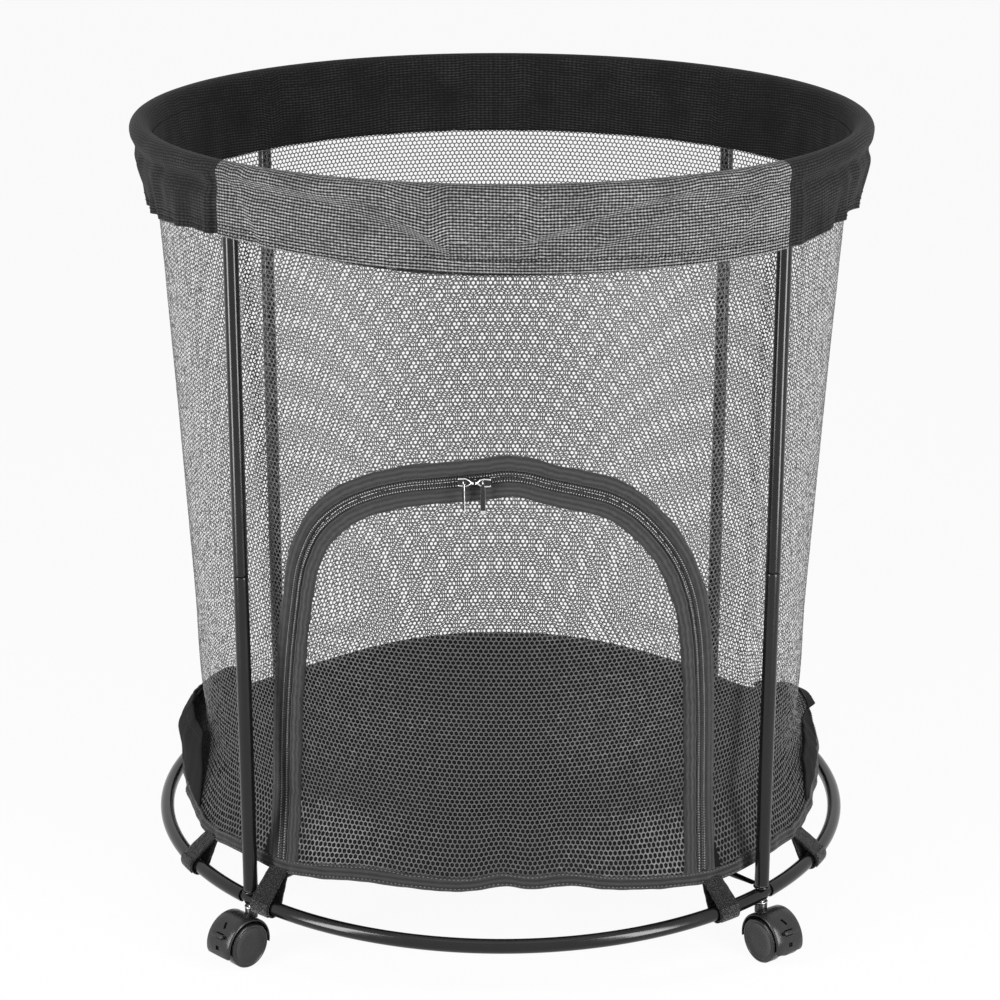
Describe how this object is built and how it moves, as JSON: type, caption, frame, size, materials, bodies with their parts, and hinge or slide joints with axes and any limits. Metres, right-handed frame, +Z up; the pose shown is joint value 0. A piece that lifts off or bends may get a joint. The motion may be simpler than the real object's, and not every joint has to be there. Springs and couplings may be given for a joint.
{
  "type": "ball cart",
  "caption": "Round rolling ball cart: a tube frame on swivel casters that holds a mesh bag with a solid top band and an arched zipped door.",
  "frame": {"origin": "on the floor, under the middle of the round frame", "axes": "+Z up the frame's axis; -Y towards the zipped door at the front; the posts stand at 45 degrees to X and Y"},
  "size_m": [0.6174, 0.6174, 0.6707],
  "materials": {
    "powder_coated_tube": "glossy black powder coat",
    "zinc_steel": "bright zinc",
    "caster_plastic": "satin black",
    "caster_wheel": "matte black",
    "band_fabric": "dark grey woven",
    "mesh_fabric": "black net",
    "hem_fabric": "black woven tape",
    "zip_chain": "satin dark grey",
    "slider_metal": "dark coated metal",
    "strap": "black hook and loop tape"
  },
  "bodies": {
    "frame": {"base_arc_front": "powder_coated_tube", "base_arc_right": "powder_coated_tube", "base_arc_rear": "powder_coated_tube", "base_arc_left": "powder_coated_tube", "post_lower_front_left": "powder_coated_tube", "post_lower_front_right": "powder_coated_tube", "post_lower_rear_right": "powder_coated_tube", "post_lower_rear_left": "powder_coated_tube", "post_upper_front_left": "powder_coated_tube", "post_upper_front_right": "powder_coated_tube", "post_upper_rear_right": "powder_coated_tube", "post_upper_rear_left": "powder_coated_tube", "top_ring_front": "powder_coated_tube", "top_ring_rear": "powder_coated_tube", "cross_rod_upper": "powder_coated_tube", "cross_rod_lower": "powder_coated_tube", "caster_stem_front_left": "zinc_steel", "caster_stem_front_right": "zinc_steel", "caster_stem_rear_right": "zinc_steel", "caster_stem_rear_left": "zinc_steel", "bag_band": "band_fabric", "bag_wall": "mesh_fabric", "bag_hem": "hem_fabric", "bag_floor": "hem_fabric", "zip_tape_outer": "hem_fabric", "zip_chain_outer": "zip_chain", "strap_front_left": "strap", "strap_front_right": "strap", "strap_left_front": "strap", "strap_right_front": "strap", "strap_left_rear": "strap", "strap_right_rear": "strap", "strap_rear_left": "strap", "strap_rear_right": "strap"},
    "door": {"door_panel": "mesh_fabric", "zip_tape_inner": "hem_fabric", "zip_chain_inner": "zip_chain"},
    "caster_front_left": {"caster_hood_front_left": "caster_plastic", "caster_axle_front_left": "zinc_steel"},
    "wheel_front_left_a": {"caster_wheel_front_left_a": "caster_wheel"},
    "wheel_front_left_b": {"caster_wheel_front_left_b": "caster_wheel"},
    "pedal_front_left": {"brake_pedal_front_left": "caster_plastic"},
    "caster_front_right": {"caster_hood_front_right": "caster_plastic", "caster_axle_front_right": "zinc_steel"},
    "wheel_front_right_a": {"caster_wheel_front_right_a": "caster_wheel"},
    "wheel_front_right_b": {"caster_wheel_front_right_b": "caster_wheel"},
    "pedal_front_right": {"brake_pedal_front_right": "caster_plastic"},
    "caster_rear_right": {"caster_hood_rear_right": "caster_plastic", "caster_axle_rear_right": "zinc_steel"},
    "wheel_rear_right_a": {"caster_wheel_rear_right_a": "caster_wheel"},
    "wheel_rear_right_b": {"caster_wheel_rear_right_b": "caster_wheel"},
    "caster_rear_left": {"caster_hood_rear_left": "caster_plastic", "caster_axle_rear_left": "zinc_steel"},
    "wheel_rear_left_a": {"caster_wheel_rear_left_a": "caster_wheel"},
    "wheel_rear_left_b": {"caster_wheel_rear_left_b": "caster_wheel"},
    "slider_left": {"zip_slider_left": "slider_metal"},
    "pull_left": {"zip_pull_left": "slider_metal"},
    "slider_right": {"zip_slider_right": "slider_metal"},
    "pull_right": {"zip_pull_right": "slider_metal"}
  },
  "joints": [
    {"name": "caster_swivel_front_left", "type": "hinge", "parent": "frame", "child": "caster_front_left", "pos_m": [-0.21213, -0.21213, 0.0445], "axis": [0, 0, 1], "continuous": true},
    {"name": "wheel_roll_front_left_a", "type": "hinge", "parent": "caster_front_left", "child": "wheel_front_left_a", "pos_m": [-0.22274, -0.22274, 0.019], "axis": [0.7071, -0.7071, 0], "continuous": true},
    {"name": "wheel_roll_front_left_b", "type": "hinge", "parent": "caster_front_left", "child": "wheel_front_left_b", "pos_m": [-0.22274, -0.22274, 0.019], "axis": [0.7071, -0.7071, 0], "continuous": true},
    {"name": "brake_front_left", "type": "hinge", "parent": "caster_front_left", "child": "pedal_front_left", "pos_m": [-0.23223, -0.23223, 0.02675], "axis": [0.7071, -0.7071, 0], "range_deg": [0, 10]},
    {"name": "caster_swivel_front_right", "type": "hinge", "parent": "frame", "child": "caster_front_right", "pos_m": [0.21213, -0.21213, 0.0445], "axis": [0, 0, 1], "continuous": true},
    {"name": "wheel_roll_front_right_a", "type": "hinge", "parent": "caster_front_right", "child": "wheel_front_right_a", "pos_m": [0.22074, -0.22442, 0.019], "axis": [0.8192, 0.5736, 0], "continuous": true},
    {"name": "wheel_roll_front_right_b", "type": "hinge", "parent": "caster_front_right", "child": "wheel_front_right_b", "pos_m": [0.22074, -0.22442, 0.019], "axis": [0.8192, 0.5736, 0], "continuous": true},
    {"name": "brake_front_right", "type": "hinge", "parent": "caster_front_right", "child": "pedal_front_right", "pos_m": [0.22843, -0.23542, 0.02675], "axis": [0.8192, 0.5736, 0], "range_deg": [0, 10]},
    {"name": "caster_swivel_rear_right", "type": "hinge", "parent": "frame", "child": "caster_rear_right", "pos_m": [0.21213, 0.21213, 0.0445], "axis": [0, 0, 1], "continuous": true},
    {"name": "wheel_roll_rear_right_a", "type": "hinge", "parent": "caster_rear_right", "child": "wheel_rear_right_a", "pos_m": [0.22274, 0.22274, 0.019], "axis": [-0.7071, 0.7071, 0], "continuous": true},
    {"name": "wheel_roll_rear_right_b", "type": "hinge", "parent": "caster_rear_right", "child": "wheel_rear_right_b", "pos_m": [0.22274, 0.22274, 0.019], "axis": [-0.7071, 0.7071, 0], "continuous": true},
    {"name": "caster_swivel_rear_left", "type": "hinge", "parent": "frame", "child": "caster_rear_left", "pos_m": [-0.21213, 0.21213, 0.0445], "axis": [0, 0, 1], "continuous": true},
    {"name": "wheel_roll_rear_left_a", "type": "hinge", "parent": "caster_rear_left", "child": "wheel_rear_left_a", "pos_m": [-0.22274, 0.22274, 0.019], "axis": [-0.7071, -0.7071, 0], "continuous": true},
    {"name": "wheel_roll_rear_left_b", "type": "hinge", "parent": "caster_rear_left", "child": "wheel_rear_left_b", "pos_m": [-0.22274, 0.22274, 0.019], "axis": [-0.7071, -0.7071, 0], "continuous": true},
    {"name": "door_swing", "type": "hinge", "parent": "frame", "child": "door", "pos_m": [-0.01185, -0.26093, 0.106], "axis": [0.999, -0.0454, 0], "range_deg": [0, 100]},
    {"name": "zip_run_left", "type": "hinge", "parent": "door", "child": "slider_left", "pos_m": [0, 0, 0.436], "axis": [0, 0, 1], "range_deg": [-5, 0]},
    {"name": "pull_swing_left", "type": "hinge", "parent": "slider_left", "child": "pull_left", "pos_m": [-0.03368, -0.28211, 0.436], "axis": [-0.993, 0.1185, 0], "range_deg": [0, 150]},
    {"name": "zip_run_right", "type": "hinge", "parent": "door", "child": "slider_right", "pos_m": [0, 0, 0.436], "axis": [0, 0, 1], "range_deg": [0, 10]},
    {"name": "pull_swing_right", "type": "hinge", "parent": "slider_right", "child": "pull_right", "pos_m": [-0.02077, -0.28336, 0.436], "axis": [-0.9973, 0.0731, 0], "range_deg": [0, 150]}
  ]
}
